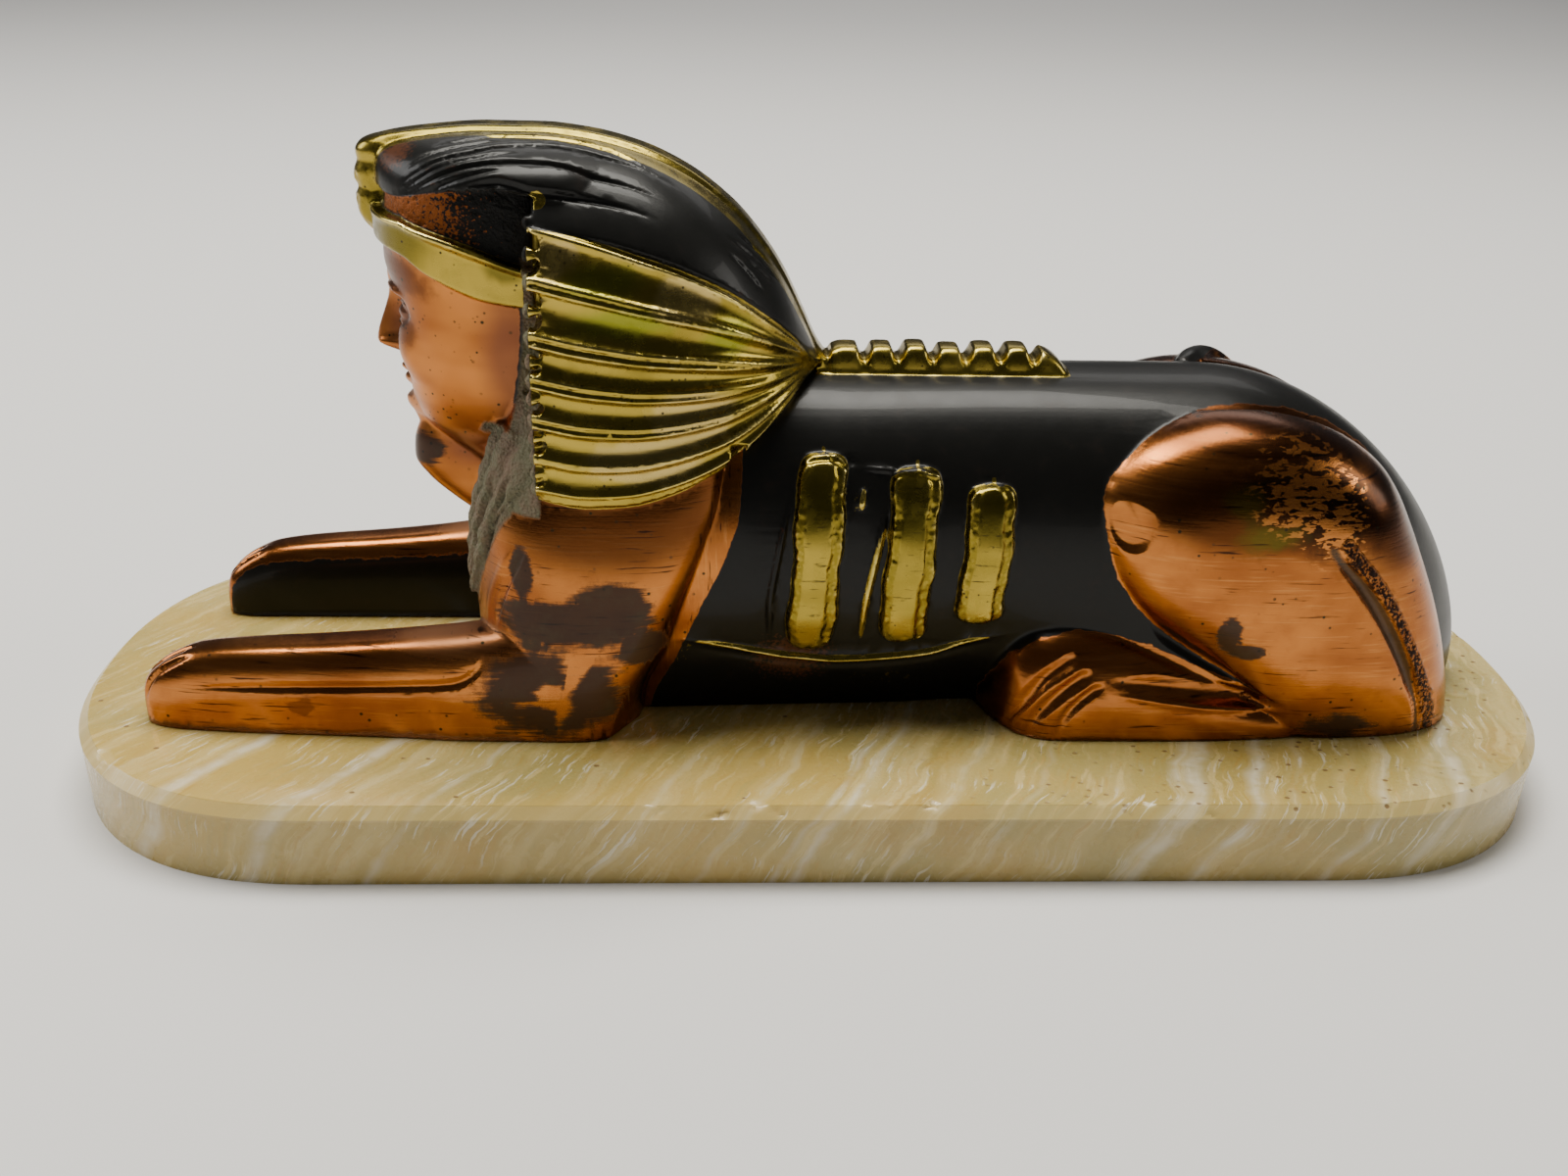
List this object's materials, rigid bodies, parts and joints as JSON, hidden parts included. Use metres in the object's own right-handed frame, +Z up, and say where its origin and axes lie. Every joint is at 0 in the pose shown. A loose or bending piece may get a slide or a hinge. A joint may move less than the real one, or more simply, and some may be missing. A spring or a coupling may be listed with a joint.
{
  "type": "sphinx statue",
  "caption": "Small lying sphinx with a striped headcloth, cast in metal with copper, brass and black finishes, on a polished onyx slab with rounded ends.",
  "frame": {"origin": "centre of the onyx slab's underside", "axes": "+X from the face towards the rump, along the slab; +Y towards the figure's right side; +Z up"},
  "size_m": [0.28, 0.103, 0.1179],
  "materials": {
    "onyx": "polished banded onyx, translucent beige with white veins",
    "sphinx_metal": "worn copper plate with brass details and black patina, semi-gloss"
  },
  "bodies": {
    "root": {"onyx_plinth": "onyx", "sphinx_figure": "sphinx_metal"}
  },
  "joints": []
}
